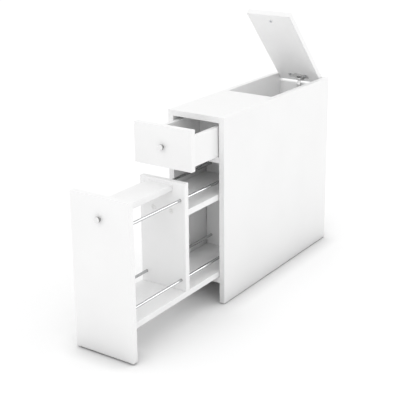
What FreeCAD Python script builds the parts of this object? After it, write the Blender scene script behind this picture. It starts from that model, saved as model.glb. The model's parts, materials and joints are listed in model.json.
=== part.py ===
"""Narrow floor-standing bathroom cabinet: a lidded compartment and a drawer over a tall pull-out.

Millimetres, +X to the right, +Y to the back, +Z up. It is drawn as photographed, with the drawer
and the pull-out part open and the lid up, and each piece is a separate solid.
Case coordinates start on the floor, at the middle of the case's front edge. The finished model
is moved along Y, so that its origin is the middle of the whole open cabinet's footprint.
"""
import FreeCAD, Part
import Sketcher
import math
import os

LENGTHS = {
    # case boards
    "case_width": 165, "case_depth": 540, "case_height": 485, "board": 15,
    "bottom_height": 55, "drawer_bay": 85, "top_length": 248,
    # nail-in feet under the sides
    "foot_height": 2, "foot_radius": 6, "foot_inset": 20, "nail_radius": 1.2, "nail_length": 12,
    # cam housings, cam bolts and dowels that join the boards
    "cam_radius": 7.4, "cam_floor": 1.5, "cam_reach": 24, "cam_inset": 35, "cam_slot": 1.6,
    "bolt_radius": 3, "bolt_bite": 10.5, "dowel_radius": 4, "dowel_length": 30, "dowel_bite": 10,
    "panel_dowel_inset": 20,
    # long board screws, their caps and the small screws
    "long_screw_radius": 2.6, "long_screw_length": 46, "long_screw_head": 4.8,
    "long_screw_head_depth": 3, "cap_radius": 6.2, "cap_thickness": 1.2,
    "screw_radius": 1.5, "screw_length": 10, "screw_head": 3.2, "screw_head_depth": 1.8,
    # clearances, glides and the overrun of every cut
    "fit": 0.1, "running_fit": 0.05, "slide_clearance": 0.3, "glide": 1.2, "pad_width": 14,
    "pad_length": 50, "pad_inset": 6, "overrun": 2, "stop_depth": 12, "stop_width": 18,
    "stop_clearance": 0.5, "passing_clearance": 2,
    # fronts
    "front_gap": 4, "front_floor_gap": 4,
    # knobs
    "knob_length": 10, "knob_radius": 7, "knob_base": 5, "knob_neck": 3.4, "knob_foot": 1,
    "knob_head": 4.5, "knob_round": 1.5, "knob_screw_radius": 2, "knob_screw_bite": 7,
    "knob_screw_head": 4, "knob_screw_head_depth": 2.2,
    "pullout_knob_drop": 51, "lid_knob_inset": 25,
    # lid and its cup hinge
    "lid_gap": 1.5, "lid_setback": 3, "lid_rear_gap": 9, "lid_round": 2.6, "bumper_radius": 2.5,
    "bumper_inset": 12, "cup_radius": 17.5, "cup_depth": 11.5, "cup_edge": 3, "cup_pocket_half": 6,
    "cup_pocket_front": 15, "cup_pocket_clearance": 0.5, "flange_half": 31, "flange_rear": 9.5,
    "flange": 1.2, "flange_screw": 24, "flange_screw_ahead": 8, "pivot_ahead": 12.5, "pivot_rise": 7.5,
    "pin_radius": 1.25, "pin_half": 10, "eye_radius": 2.4, "arm_width": 10, "arm": 3, "arm_neck": 2.6,
    "arm_reach": 11, "arm_drop": 65, "arm_bend": 2.5, "arm_screw_drop": 56, "plate_wing": 2.5,
    "plate_wing_half": 21, "plate_wing_height": 16, "plate_screw": 16, "plate_drop": 53,
    "ridge_width": 12, "ridge_height": 46,
    # drawer
    "drawer_opening": 120, "drawer_spare": 40, "drawer_rear_gap": 15.5, "drawer_wall": 12,
    "drawer_side_gap": 3, "drawer_side_drop": 10, "drawer_ply": 3, "drawer_groove": 5, "drawer_groove_height": 6,
    "drawer_bolt_height": 48, "drawer_dowel_height": 22, "drawer_screw_inset": 16,
    "runner_width": 10, "runner_inset": 5,
    # pull-out
    "pullout_opening": 350, "pullout_spare": 50, "pullout_rear_gap": 20, "pullout_side_gap": 2,
    "front_section": 210, "divider_drop": 13.5, "slab_drop": 7.5, "slab_width": 72, "slab_offset": 6,
    "upper_bay": 66, "rail_radius": 3.8, "rail_bite": 6.5, "rail_inset": 14, "rail_drop": 42.5,
    "rail_rise": 26.5,
    "shelf_screw": 25.5, "slab_screw": 22, "floor_screw": 42, "rear_pad_place": 30, "bay_pad_place": 52,
    "tip_pad_place": 18, "guide_length": 30, "guide_inset": 25,
}
LID_ANGLE = 48

doc = FreeCAD.newDocument("bathroom_cabinet")
sheet = doc.addObject("Spreadsheet::Sheet", "Sizes")
NODES = []
V = FreeCAD.Vector


class Size:
    """A length with its value in millimetres and the formula that it follows from."""

    def __init__(self, value, formula):
        self.value = value
        self.formula = formula

    def __add__(self, other):
        return Size(self.value + worth(other), f"({self.formula} + {wording(other)})")

    def __sub__(self, other):
        return Size(self.value - worth(other), f"({self.formula} - {wording(other)})")

    def __mul__(self, other):
        return Size(self.value * worth(other), f"({self.formula} * {wording(other)})")

    def __truediv__(self, other):
        return Size(self.value / worth(other), f"({self.formula} / {wording(other)})")

    def __neg__(self):
        return Size(-self.value, f"(0 - {self.formula})")


def worth(size):
    """The value of a size or of a plain number."""
    return size.value if isinstance(size, Size) else float(size)


def wording(size):
    """The formula of a size, or a plain number as text."""
    return size.formula if isinstance(size, Size) else str(size)


def write_sizes():
    """Write every driving size into the sheet and return them by name."""
    found = {}
    rows = list(LENGTHS.items()) + [("lid_angle", LID_ANGLE)]
    for row, (name, value) in enumerate(rows, 1):
        sheet.set(f"A{row}", name)
        sheet.set(f"B{row}", str(value))
        sheet.setAlias(f"B{row}", name)
        found[name] = Size(float(value), f"Sizes.{name}")
    doc.recompute()
    return found


class Sizes:
    """The driving sizes as attributes."""

    def __init__(self, found):
        self.__dict__.update(found)


s = Sizes(write_sizes())
zero = Size(0.0, "0")
lid_cos = Size(math.cos(math.radians(LID_ANGLE)), "cos(Sizes.lid_angle * 1 deg)")
lid_sin = Size(math.sin(math.radians(LID_ANGLE)), "sin(Sizes.lid_angle * 1 deg)")

# Places in case coordinates that several pieces share.
half_width = s.case_width / 2
inner_half = half_width - s.board
inner_width = inner_half * 2
back_y = s.case_depth - s.board
top_underside = s.case_height - s.board
bottom_top = s.bottom_height + s.board
shelf_top = top_underside - s.drawer_bay
shelf_z = shelf_top - s.board
wall_y = s.top_length - s.board / 2
wall_top = top_underside - s.glide - s.slide_clearance
back_top = top_underside - s.lid_rear_gap
glide_lift = s.glide + s.slide_clearance

lid_front = s.top_length + s.lid_gap
lid_back = s.case_depth - s.lid_setback
cup_y = lid_back - s.cup_edge - s.cup_radius
pivot_y = cup_y + s.pivot_ahead
pivot_z = top_underside + s.pivot_rise

drawer_y = -s.drawer_opening
drawer_half = inner_half - s.drawer_side_gap
drawer_inner_half = drawer_half - s.drawer_wall
drawer_z = shelf_top + glide_lift
drawer_length = wall_y - s.drawer_rear_gap
drawer_back_y = drawer_y + drawer_length - s.drawer_wall
drawer_back_top = top_underside - glide_lift
drawer_side_top = top_underside - s.drawer_side_drop
drawer_ply_z = drawer_z + s.drawer_groove_height
drawer_groove_top = drawer_ply_z + s.drawer_ply + s.fit
drawer_knob_z = (shelf_top + s.case_height) / 2

pullout_y = -s.pullout_opening
pullout_half = inner_half - s.pullout_side_gap
pullout_z = bottom_top + glide_lift
pullout_floor = pullout_z + s.board
pullout_front_top = shelf_top - s.front_gap
pullout_length = back_y - s.pullout_rear_gap
pullout_rear_y = pullout_y + pullout_length
pullout_back_y = pullout_rear_y - s.board
pullout_back_top = shelf_z - glide_lift
divider_y = pullout_y + s.front_section
divider_back_y = divider_y + s.board
divider_top = shelf_z - s.divider_drop
slab_z = divider_top - s.slab_drop - s.board
mid_z = divider_top - s.upper_bay - s.board
rail_x = pullout_half - s.rail_inset
rail_heights = (pullout_floor + s.rail_rise, divider_top - s.rail_drop)

frame_y = (s.pullout_opening + s.board + s.knob_length - s.case_depth) / 2

SIDES = (-1, 1)
DIRECTIONS = {"+X": (1, 0, 0), "-X": (-1, 0, 0), "+Y": (0, 1, 0), "-Y": (0, -1, 0),
              "+Z": (0, 0, 1), "-Z": (0, 0, -1)}
OPPOSITE = {"+X": "-X", "-X": "+X", "+Y": "-Y", "-Y": "+Y", "+Z": "-Z", "-Z": "+Z"}


def bind(item, prop, size):
    """Make a property of an item follow a size."""
    item.setExpression(prop, wording(size))


def bind_place(item, point):
    """Make an item's place follow a point of three sizes."""
    for axis, place in zip("xyz", point):
        bind(item, f"Placement.Base.{axis}", place)


def shift(point, direction, distance):
    """The point moved along a direction."""
    signs = DIRECTIONS[direction]
    return tuple(place + distance * sign if sign else place for place, sign in zip(point, signs))


def turned(direction):
    """The rotation that brings +Z to a direction."""
    return FreeCAD.Rotation(V(0, 0, 1), V(*DIRECTIONS[direction]))


class Piece:
    """A sub-part with its own origin. Its solids are asked for in case coordinates, lid closed."""

    def __init__(self, label, origin, on_lid=False):
        self.label = label
        self.origin = origin
        self.on_lid = on_lid

    def local(self, point):
        return tuple(place - start for place, start in zip(point, self.origin))

    def box(self, point, size):
        """A block with its lowest corner at a point."""
        block = doc.addObject("Part::Box", self.label + "_block")
        for prop, length in zip(("Length", "Width", "Height"), size):
            bind(block, prop, length)
        bind_place(block, self.local(point))
        return block

    def rod(self, point, direction, radius, length):
        """A round bar from a point along a direction."""
        bar = doc.addObject("Part::Cylinder", self.label + "_bar")
        bind(bar, "Radius", radius)
        bind(bar, "Height", length)
        bar.Placement = FreeCAD.Placement(V(), turned(direction))
        bind_place(bar, self.local(point))
        return bar

    def join(self, solids):
        """Several touching solids made one."""
        joined = doc.addObject("Part::MultiFuse", self.label + "_joined")
        joined.Shapes = solids
        joined.Refine = True
        return joined

    def cut(self, solid, tools):
        """A solid with its holes, grooves and recesses cut."""
        result = doc.addObject("Part::Cut", self.label + "_cut")
        result.Base = solid
        result.Tool = tools[0] if len(tools) == 1 else self.join(tools)
        return result

    def group(self, solids):
        """Like pieces that stay separate solids."""
        together = doc.addObject("Part::Compound", self.label + "_set")
        together.Links = solids
        return together

    def finish(self, item, facing="+Z"):
        """Name the sub-part and put it in its place in the open cabinet."""
        x, y, z = self.origin
        item.Placement = FreeCAD.Placement(V(), turned(facing))
        if self.on_lid:
            ahead = y - pivot_y
            above = z - pivot_z
            y = pivot_y + ahead * lid_cos + above * lid_sin
            z = pivot_z - ahead * lid_sin + above * lid_cos
            item.Placement = FreeCAD.Placement(V(), FreeCAD.Rotation(V(1, 0, 0), -LID_ANGLE))
            bind(item, "Placement.Rotation.Angle", -s.lid_angle)
        bind_place(item, (x, y + frame_y, z))
        item.Label = self.label
        NODES.append(item)
        return item


def board(label, point, size, holes=(), on_lid=False):
    """A flat board with its drilled holes, each given as a tuple for rod."""
    piece = Piece(label, point, on_lid)
    blank = piece.box(point, size)
    return piece.finish(piece.cut(blank, [piece.rod(*hole) for hole in holes]) if holes else blank)


def hole(point, direction, radius, depth):
    """A drilled hole from a face into the wood, begun one overrun outside it."""
    return shift(point, OPPOSITE[direction], s.overrun), direction, radius + s.fit, s.overrun + depth + s.fit


SMALL_SCREW = (s.screw_head, s.screw_head_depth, s.screw_radius)
LONG_SCREW = (s.long_screw_head, s.long_screw_head_depth, s.long_screw_radius)


def screw_holes(point, direction, length, screw):
    """The drilling in the board that a screw's head is sunk in."""
    head_radius, head_depth, radius = screw
    return [hole(point, direction, head_radius, head_depth), hole(point, direction, radius, length)]


class Joint:
    """A cam housing and its bolt. The bolt crosses a joint at a point and runs into the cam's board.

    into is the way from the joint into that board, and face is the way to the face that the cam
    is pushed in from, at a depth below which the bolt lies.
    """

    def __init__(self, point, into, face, depth):
        self.point = point
        self.into = into
        self.face = face
        self.mouth = shift(shift(point, into, s.cam_reach), face, depth)
        self.cam_depth = depth + s.bolt_radius + s.cam_floor

    def bolt(self, piece):
        start = shift(self.point, OPPOSITE[self.into], s.bolt_bite)
        return piece.rod(start, self.into, s.bolt_radius, s.bolt_bite + s.cam_reach)

    def cam(self, piece):
        inward = OPPOSITE[self.face]
        disc = piece.rod(self.mouth, inward, s.cam_radius, self.cam_depth)
        reach = s.cam_radius + s.overrun
        centre = shift(self.point, self.into, s.cam_reach + s.fit)
        bore = piece.rod(centre, OPPOSITE[self.into], s.bolt_radius + s.fit, reach)
        slot = piece.rod(shift(self.mouth, self.face, s.overrun), inward, s.cam_slot, s.overrun + s.cam_slot)
        return piece.cut(disc, [bore, slot])

    def board_holes(self):
        return [hole(self.point, self.into, s.bolt_radius, s.cam_reach),
                hole(self.mouth, OPPOSITE[self.face], s.cam_radius, self.cam_depth)]

    def bite_hole(self):
        return hole(self.point, OPPOSITE[self.into], s.bolt_radius, s.bolt_bite)


class Dowel:
    """A wooden dowel across a joint, shallow in the panel's face and deep in the board's end."""

    def __init__(self, point, into):
        self.point = point
        self.into = into

    def pin(self, piece):
        start = shift(self.point, OPPOSITE[self.into], s.dowel_bite)
        return piece.rod(start, self.into, s.dowel_radius, s.dowel_length)

    def board_hole(self):
        return hole(self.point, self.into, s.dowel_radius, s.dowel_length - s.dowel_bite)

    def bite_hole(self):
        return hole(self.point, OPPOSITE[self.into], s.dowel_radius, s.dowel_bite)


def origin_plane(body, role):
    """One of a body's own three planes."""
    return [plane for plane in body.Origin.OriginFeatures if plane.Role == role][0]


def new_sketch(body, name, role, lift=None):
    """An empty sketch on a body's own plane, raised along the plane's normal where lift is given."""
    sketch = body.newObject("Sketcher::SketchObject", name)
    sketch.AttachmentSupport = (origin_plane(body, role), [""])
    sketch.MapMode = "FlatFace"
    if lift is not None:
        bind(sketch, "AttachmentOffset.Base.z", lift)
    return sketch


def pin_point(sketch, geometry, end, point):
    """Fix one point of a sketch by its two distances from the sketch's origin."""
    for kind, place in zip(("DistanceX", "DistanceY"), point):
        number = sketch.addConstraint(Sketcher.Constraint(kind, -1, 1, geometry, end, worth(place)))
        bind(sketch, f"Constraints[{number}]", place)


def draw_outline(sketch, points):
    """A closed outline of straight runs through points of two sizes each."""
    count = len(points)
    for index, point in enumerate(points):
        following = points[(index + 1) % count]
        ends = [V(worth(x), worth(y), 0) for x, y in (point, following)]
        sketch.addGeometry(Part.LineSegment(*ends), False)
    for index in range(count):
        sketch.addConstraint(Sketcher.Constraint("Coincident", index, 2, (index + 1) % count, 1))
    for index, point in enumerate(points):
        pin_point(sketch, index, 1, point)


def draw_circle(sketch, centre, radius):
    """A circle with its centre and radius fixed by sizes."""
    place = V(worth(centre[0]), worth(centre[1]), 0)
    number = sketch.addGeometry(Part.Circle(place, V(0, 0, 1), worth(radius)), False)
    pin_point(sketch, number, 3, centre)
    rule = sketch.addConstraint(Sketcher.Constraint("Radius", number, worth(radius)))
    bind(sketch, f"Constraints[{rule}]", radius)


def edges_near(feature, test):
    """The names of a feature's edges whose middle passes a test."""
    doc.recompute()
    found = []
    for number, edge in enumerate(feature.Shape.Edges, 1):
        if test(edge.BoundBox.Center, edge):
            found.append(f"Edge{number}")
    return found


def close_to(value, size):
    """Whether a place is a size's place, within a tenth of the fit."""
    return abs(value - worth(size)) < worth(s.fit) / 10


# Joints between the case's boards: two cams and a dowel at each end of every flat board.
case_joints = {-1: [], 1: []}
case_dowels = {-1: [], 1: []}
board_joints = {}
flat_boards = {
    "bottom_board": (s.bottom_height, back_y),
    "drawer_shelf": (shelf_z, back_y),
    "top_board": (top_underside, s.top_length),
}
for label, (height, length) in flat_boards.items():
    holes = []
    for side in SIDES:
        into = "-X" if side > 0 else "+X"
        middle = height + s.board / 2
        for y in (s.cam_inset, length - s.cam_inset):
            joint = Joint((inner_half * side, y, middle), into, "-Z", s.board / 2)
            case_joints[side].append(joint)
            holes += joint.board_holes()
        dowel = Dowel((inner_half * side, length / 2, middle), into)
        case_dowels[side].append(dowel)
        holes.append(dowel.board_hole())
    board_joints[label] = holes

upright_boards = {
    "back_panel": (back_y + s.board / 2, s.bottom_height, back_top),
    "compartment_wall": (wall_y + s.board / 2, shelf_top, wall_top),
}
for label, (y, low, high) in upright_boards.items():
    holes = []
    for side in SIDES:
        into = "-X" if side > 0 else "+X"
        for z in (low + s.panel_dowel_inset, high - s.panel_dowel_inset):
            dowel = Dowel((inner_half * side, y, z), into)
            case_dowels[side].append(dowel)
            holes.append(dowel.board_hole())
    board_joints[label] = holes

# Case sides. Each is one tall board that reaches down to its two feet.
foot_rows = (s.foot_inset, s.case_depth - s.foot_inset)
for side, label in ((-1, "side_left"), (1, "side_right")):
    corner = (-half_width if side < 0 else inner_half, zero, s.foot_height)
    holes = [joint.bite_hole() for joint in case_joints[side]]
    holes += [dowel.bite_hole() for dowel in case_dowels[side]]
    for y in foot_rows:
        foot_top = ((inner_half + s.board / 2) * side, y, s.foot_height)
        holes.append(hole(foot_top, "+Z", s.nail_radius, s.nail_length))
    board(label, corner, (s.board, s.case_depth, s.case_height - s.foot_height), holes)

# Flat boards between the sides. The drawer shelf is also the floor of the lidded compartment. A stop
# is screwed under two of them, ahead of the back of what slides below it by its spare travel.
pullout_stop_y = pullout_back_y - s.pullout_spare - s.stop_clearance
drawer_stop_y = drawer_back_y - s.drawer_spare - s.stop_clearance
for label, (height, length) in flat_boards.items():
    holes = list(board_joints[label])
    if label == "drawer_shelf":
        stop_y = pullout_stop_y - s.stop_depth / 2
        holes.append(hole((zero, stop_y, height), "+Z", s.screw_radius, s.screw_length))
    if label == "top_board":
        stop_y = drawer_stop_y - s.stop_depth / 2
        holes.append(hole((zero, stop_y, height), "+Z", s.screw_radius, s.screw_length))
    board(label, (-inner_half, zero, height), (inner_width, length, s.board), holes)

# The back panel stops short of the top, because the lid's rear edge swings over it.
plate_z = pivot_z - s.plate_drop + s.plate_wing_height / 2
back_holes = list(board_joints["back_panel"])
for side in SIDES:
    mark = (s.plate_screw * side, back_y, plate_z)
    back_holes.append(hole(mark, "+Y", s.screw_radius, s.screw_length))
board("back_panel", (-inner_half, back_y, s.bottom_height),
      (inner_width, s.board, back_top - s.bottom_height), back_holes)

# The compartment's front wall stands half under the top board and half under the lid's edge.
board("compartment_wall", (-inner_half, wall_y, shelf_top), (inner_width, s.board, wall_top - shelf_top),
      board_joints["compartment_wall"])

# Feet: plastic glides on a nail, under both ends of each side.
feet = Piece("feet", (zero, zero, zero))
foot_solids = []
for side in SIDES:
    for y in foot_rows:
        ground = ((inner_half + s.board / 2) * side, y, zero)
        disc = feet.rod(ground, "+Z", s.foot_radius, s.foot_height)
        nail = feet.rod(ground, "+Z", s.nail_radius, s.foot_height + s.nail_length)
        foot_solids.append(feet.join([disc, nail]))
feet.finish(feet.group(foot_solids))

# Cam housings, cam bolts and dowels of the case.
all_joints = case_joints[-1] + case_joints[1]
all_dowels = case_dowels[-1] + case_dowels[1]
cams = Piece("case_cams", (zero, zero, zero))
cams.finish(cams.group([joint.cam(cams) for joint in all_joints]))
bolts = Piece("case_cam_bolts", (zero, zero, zero))
bolts.finish(bolts.group([joint.bolt(bolts) for joint in all_joints]))
pins = Piece("case_dowels", (zero, zero, zero))
pins.finish(pins.group([dowel.pin(pins) for dowel in all_dowels]))

# Slippery strips on the shelf that the drawer's sides run on, and pads that the pull-out runs on.
runners = Piece("drawer_runners", (zero, zero, shelf_top))
runner_solids = []
for side in SIDES:
    middle = (drawer_half - s.drawer_wall / 2) * side
    corner = (middle - s.runner_width / 2, s.runner_inset, shelf_top)
    runner_solids.append(runners.box(corner, (s.runner_width, wall_y - s.runner_inset * 2, s.glide)))
runners.finish(runners.group(runner_solids))


def pads(label, z, y, places, length=s.pad_length, width=s.pad_width):
    """Flat glide pads at both sides of the middle, each at a distance from it."""
    piece = Piece(label, (zero, zero, z))
    solids = []
    for side in SIDES:
        corner = (places * side - width / 2, y, z)
        solids.append(piece.box(corner, (width, length, s.glide)))
    return piece.finish(piece.group(solids))


pads("bay_glides", bottom_top, s.pad_inset, s.bay_pad_place)

# Stops: blocks screwed under the boards. The backs of the drawer and the pull-out come up to them.
def stop_block(label, under, rear, height):
    """A stop block below a board's underside, with a sunk hole for its screw."""
    corner = (-s.stop_width / 2, rear - s.stop_depth, under - height)
    centre = (zero, rear - s.stop_depth / 2, under - height)
    holes = screw_holes(centre, "+Z", height + s.overrun, SMALL_SCREW)
    board(label, corner, (s.stop_width, s.stop_depth, height), holes)
    return centre, height


def small_screw(piece, head_face, direction, length):
    """A small screw with its head's face at a point."""
    head = piece.rod(head_face, direction, s.screw_head, s.screw_head_depth)
    shank = piece.rod(head_face, direction, s.screw_radius, length)
    return piece.join([head, shank])


stops = [
    stop_block("pullout_stop", shelf_z, pullout_stop_y, s.divider_drop - s.passing_clearance),
    stop_block("drawer_stop", top_underside, drawer_stop_y, s.drawer_side_drop - s.passing_clearance),
]
stop_screws = Piece("stop_screws", (zero, zero, zero))
stop_screws.finish(stop_screws.group([small_screw(stop_screws, centre, "+Z", height + s.screw_length)
                                      for centre, height in stops]))

# Bumpers that the closed lid's front edge rests on.
bumpers = Piece("lid_bumpers", (zero, zero, wall_top))
bumper_y = (lid_front + wall_y + s.board) / 2
bumpers.finish(bumpers.group([
    bumpers.rod(((inner_half - s.bumper_inset) * side, bumper_y, wall_top), "+Z", s.bumper_radius, s.glide)
    for side in SIDES]))

# Lid: a board with a rounded rear lower edge, bored for the hinge cup and for the knob's screw.
lid = doc.addObject("PartDesign::Body", "lid_body")
lid_outline = new_sketch(lid, "lid_outline", "YZ_Plane")
low_z = top_underside - pivot_z
high_z = s.case_height - pivot_z
draw_outline(lid_outline, [(lid_front - pivot_y, low_z), (lid_back - pivot_y, low_z),
                           (lid_back - pivot_y, high_z), (lid_front - pivot_y, high_z)])
lid_pad = lid.newObject("PartDesign::Pad", "lid_pad")
lid_pad.Profile = lid_outline
lid_pad.SideType = "Symmetric"
bind(lid_pad, "Length", (inner_half - s.lid_gap) * 2)
doc.recompute()
lid_round = lid.newObject("PartDesign::Fillet", "lid_rear_round")
lid_round.Base = (lid_pad, edges_near(lid_pad, lambda centre, edge: close_to(centre.y, lid_back - pivot_y)
                                      and close_to(centre.z, low_z)))
bind(lid_round, "Radius", s.lid_round)
lid_knob_y = lid_front + s.lid_knob_inset
flange_screw_y = cup_y - s.flange_screw_ahead
lid_bores = (
    ("cup_bore", [(zero, cup_y)], s.cup_radius, s.cup_depth),
    ("flange_screw_bores", [(s.flange_screw * side, flange_screw_y) for side in SIDES],
     s.screw_radius + s.fit, s.screw_length + s.fit),
    ("knob_screw_bore", [(zero, lid_knob_y)], s.knob_screw_radius + s.fit, s.board + s.overrun),
)
for name, centres, radius, depth in lid_bores:
    marks = new_sketch(lid, name + "_marks", "XY_Plane", low_z)
    for x, y in centres:
        draw_circle(marks, (x, y - pivot_y), radius)
    bore = lid.newObject("PartDesign::Pocket", name)
    bore.Profile = marks
    bore.Reversed = True
    bind(bore, "Length", depth)
Piece("lid", (zero, pivot_y, pivot_z), True).finish(lid)

# Hinge cup: a die-cast cup sunk in the lid with a thin flange below it. Its pocket takes the arm.
cup = Piece("hinge_cup", (zero, cup_y, top_underside), True)
cup_wall = s.cup_radius - s.fit
cup_body = cup.rod((zero, cup_y, top_underside), "+Z", cup_wall, s.cup_depth - s.fit)
flange_front = cup_y - s.cup_pocket_front
flange = cup.box((-s.flange_half, flange_front, top_underside - s.flange),
                 (s.flange_half * 2, s.cup_pocket_front + s.flange_rear, s.flange))
pocket_top = pivot_z + s.eye_radius + s.cup_pocket_clearance
pocket_back = pivot_y + s.eye_radius + s.cup_pocket_clearance
pocket_front = flange_front + s.flange
pocket_low = top_underside - s.flange - s.overrun
cup_tools = [cup.box((-s.cup_pocket_half, pocket_front, pocket_low),
                     (s.cup_pocket_half * 2, pocket_back - pocket_front, pocket_top - pocket_low)),
             cup.rod((-s.pin_half - s.fit, pivot_y, pivot_z), "+X", s.pin_radius + s.running_fit / 2,
                     (s.pin_half + s.fit) * 2)]
flange_marks = [(s.flange_screw * side, flange_screw_y, top_underside - s.flange) for side in SIDES]
cup_tools += [cup.rod(shift(mark, "-Z", s.overrun), "+Z", s.screw_radius + s.fit, s.overrun * 2 + s.flange)
              for mark in flange_marks]
cup.finish(cup.cut(cup.join([cup_body, flange]), cup_tools))

hinge_pin = Piece("hinge_pin", (zero, pivot_y, pivot_z), True)
hinge_pin.finish(hinge_pin.group([
    hinge_pin.rod((-s.pin_half, pivot_y, pivot_z), "+X", s.pin_radius, s.pin_half * 2)]))
cup_screws = Piece("hinge_cup_screws", (zero, cup_y, top_underside), True)
cup_screw_length = s.screw_head_depth + s.flange + s.screw_length
cup_screws.finish(cup_screws.group([
    small_screw(cup_screws, shift(mark, "-Z", s.screw_head_depth), "+Z", cup_screw_length)
    for mark in flange_marks]))

# Hinge arm: a bent strip from its eye on the pin, forward inside the cup and down the back panel.
arm = doc.addObject("PartDesign::Body", "hinge_arm_body")
arm_outline = new_sketch(arm, "arm_outline", "YZ_Plane")
strip_front = -s.arm_reach - s.arm / 2
strip_back = -s.arm_reach + s.arm / 2
neck = s.arm_neck / 2
draw_outline(arm_outline, [(strip_front, -s.arm_drop), (strip_back, -s.arm_drop), (strip_back, -neck),
                           (zero, -neck), (zero, neck), (strip_front, neck)])
arm_pad = arm.newObject("PartDesign::Pad", "arm_strip")
arm_pad.Profile = arm_outline
arm_pad.SideType = "Symmetric"
bind(arm_pad, "Length", s.arm_width)
doc.recompute()
arm_bend = arm.newObject("PartDesign::Fillet", "arm_bend")
arm_bend.Base = (arm_pad, edges_near(arm_pad, lambda centre, edge: close_to(centre.y, strip_front)
                                     and close_to(centre.z, neck)))
bind(arm_bend, "Radius", s.arm_bend)
eye_outline = new_sketch(arm, "eye_outline", "YZ_Plane")
draw_circle(eye_outline, (zero, zero), s.eye_radius)
eye = arm.newObject("PartDesign::Pad", "arm_eye")
eye.Profile = eye_outline
eye.SideType = "Symmetric"
bind(eye, "Length", s.arm_width)
pin_mark = new_sketch(arm, "pin_bore_mark", "YZ_Plane")
draw_circle(pin_mark, (zero, zero), s.pin_radius + s.running_fit)
pin_bore = arm.newObject("PartDesign::Pocket", "pin_bore")
pin_bore.Profile = pin_mark
pin_bore.SideType = "Symmetric"
bind(pin_bore, "Length", s.arm_width + s.overrun)
screw_mark = new_sketch(arm, "arm_screw_mark", "XZ_Plane")
draw_circle(screw_mark, (zero, -s.arm_screw_drop), s.screw_radius + s.fit)
screw_bore = arm.newObject("PartDesign::Pocket", "arm_screw_bore")
screw_bore.Profile = screw_mark
screw_bore.SideType = "Symmetric"
bind(screw_bore, "Length", (s.arm_reach + s.arm) * 2)
Piece("hinge_arm", (zero, pivot_y, pivot_z)).finish(arm)

# Mounting plate on the back panel: a wing for two screws and a ridge that carries the arm.
ridge_front = pivot_y + strip_back
ridge_z = pivot_z - s.arm_drop
plate = Piece("hinge_plate", (zero, back_y, ridge_z))
wing = plate.box((-s.plate_wing_half, back_y - s.plate_wing, plate_z - s.plate_wing_height / 2),
                 (s.plate_wing_half * 2, s.plate_wing, s.plate_wing_height))
ridge = plate.box((-s.ridge_width / 2, ridge_front, ridge_z),
                  (s.ridge_width, back_y - ridge_front, s.ridge_height))
arm_screw_face = (zero, pivot_y + strip_front - s.screw_head_depth, pivot_z - s.arm_screw_drop)
arm_screw_length = s.screw_head_depth + s.arm + s.plate_wing
plate_screw_y = back_y - s.plate_wing - s.screw_head_depth
plate_marks = [(s.plate_screw * side, plate_screw_y, plate_z) for side in SIDES]
plate_tools = [plate.rod(mark, "+Y", s.screw_radius + s.fit, s.screw_head_depth + s.plate_wing + s.overrun)
               for mark in plate_marks]
plate_tools.append(plate.rod(arm_screw_face, "+Y", s.screw_radius + s.fit, arm_screw_length + s.fit))
plate.finish(plate.cut(plate.join([wing, ridge]), plate_tools))

plate_screws = Piece("hinge_plate_screws", (zero, back_y, plate_z))
plate_screw_length = s.screw_head_depth + s.plate_wing + s.screw_length
plate_screws.finish(plate_screws.group([
    small_screw(plate_screws, mark, "+Y", plate_screw_length) for mark in plate_marks]))
arm_screw = Piece("hinge_arm_screw", arm_screw_face)
arm_screw.finish(small_screw(arm_screw, arm_screw_face, "+Y", arm_screw_length))


# Knobs: turned metal, with a small foot, a neck and a rounded head, each held by a screw from behind.
def knob(label, origin, facing="+Z", on_lid=False):
    """A turned knob whose foot stands at the origin."""
    body = doc.addObject("PartDesign::Body", label + "_body")
    profile = new_sketch(body, label + "_profile", "XZ_Plane")
    head_start = s.knob_length - s.knob_head
    draw_outline(profile, [(zero, zero), (s.knob_base, zero), (s.knob_base, s.knob_foot),
                           (s.knob_neck, s.knob_foot * 2), (s.knob_neck, head_start - s.knob_foot),
                           (s.knob_radius, head_start), (s.knob_radius, s.knob_length),
                           (zero, s.knob_length)])
    turning = body.newObject("PartDesign::Revolution", label + "_turning")
    turning.Profile = profile
    turning.ReferenceAxis = (profile, ["V_Axis"])
    turning.Angle = 360
    doc.recompute()
    rounding = body.newObject("PartDesign::Fillet", label + "_rim")
    rims = edges_near(turning, lambda centre, edge: edge.Curve.TypeId == "Part::GeomCircle"
                      and close_to(edge.Curve.Radius, s.knob_radius) and close_to(centre.z, s.knob_length))
    rounding.Base = (turning, rims)
    bind(rounding, "Radius", s.knob_round)
    mark = new_sketch(body, label + "_bore_mark", "XY_Plane")
    draw_circle(mark, (zero, zero), s.knob_screw_radius + s.fit)
    bore = body.newObject("PartDesign::Pocket", label + "_bore")
    bore.Profile = mark
    bore.Reversed = True
    bind(bore, "Length", s.knob_screw_bite + s.fit)
    Piece(label, origin, on_lid).finish(body, facing)


def knob_screw(label, behind, direction, on_lid=False):
    """The screw that holds a knob, with its head on the board's hidden face."""
    piece = Piece(label, behind, on_lid)
    head_face = shift(behind, OPPOSITE[direction], s.knob_screw_head_depth)
    head = piece.rod(head_face, direction, s.knob_screw_head, s.knob_screw_head_depth)
    length = s.knob_screw_head_depth + s.board + s.knob_screw_bite
    shank = piece.rod(head_face, direction, s.knob_screw_radius, length)
    piece.finish(piece.join([head, shank]))


knob("lid_knob", (zero, lid_knob_y, s.case_height), on_lid=True)
knob_screw("lid_knob_screw", (zero, lid_knob_y, top_underside), "+Z", True)

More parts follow.
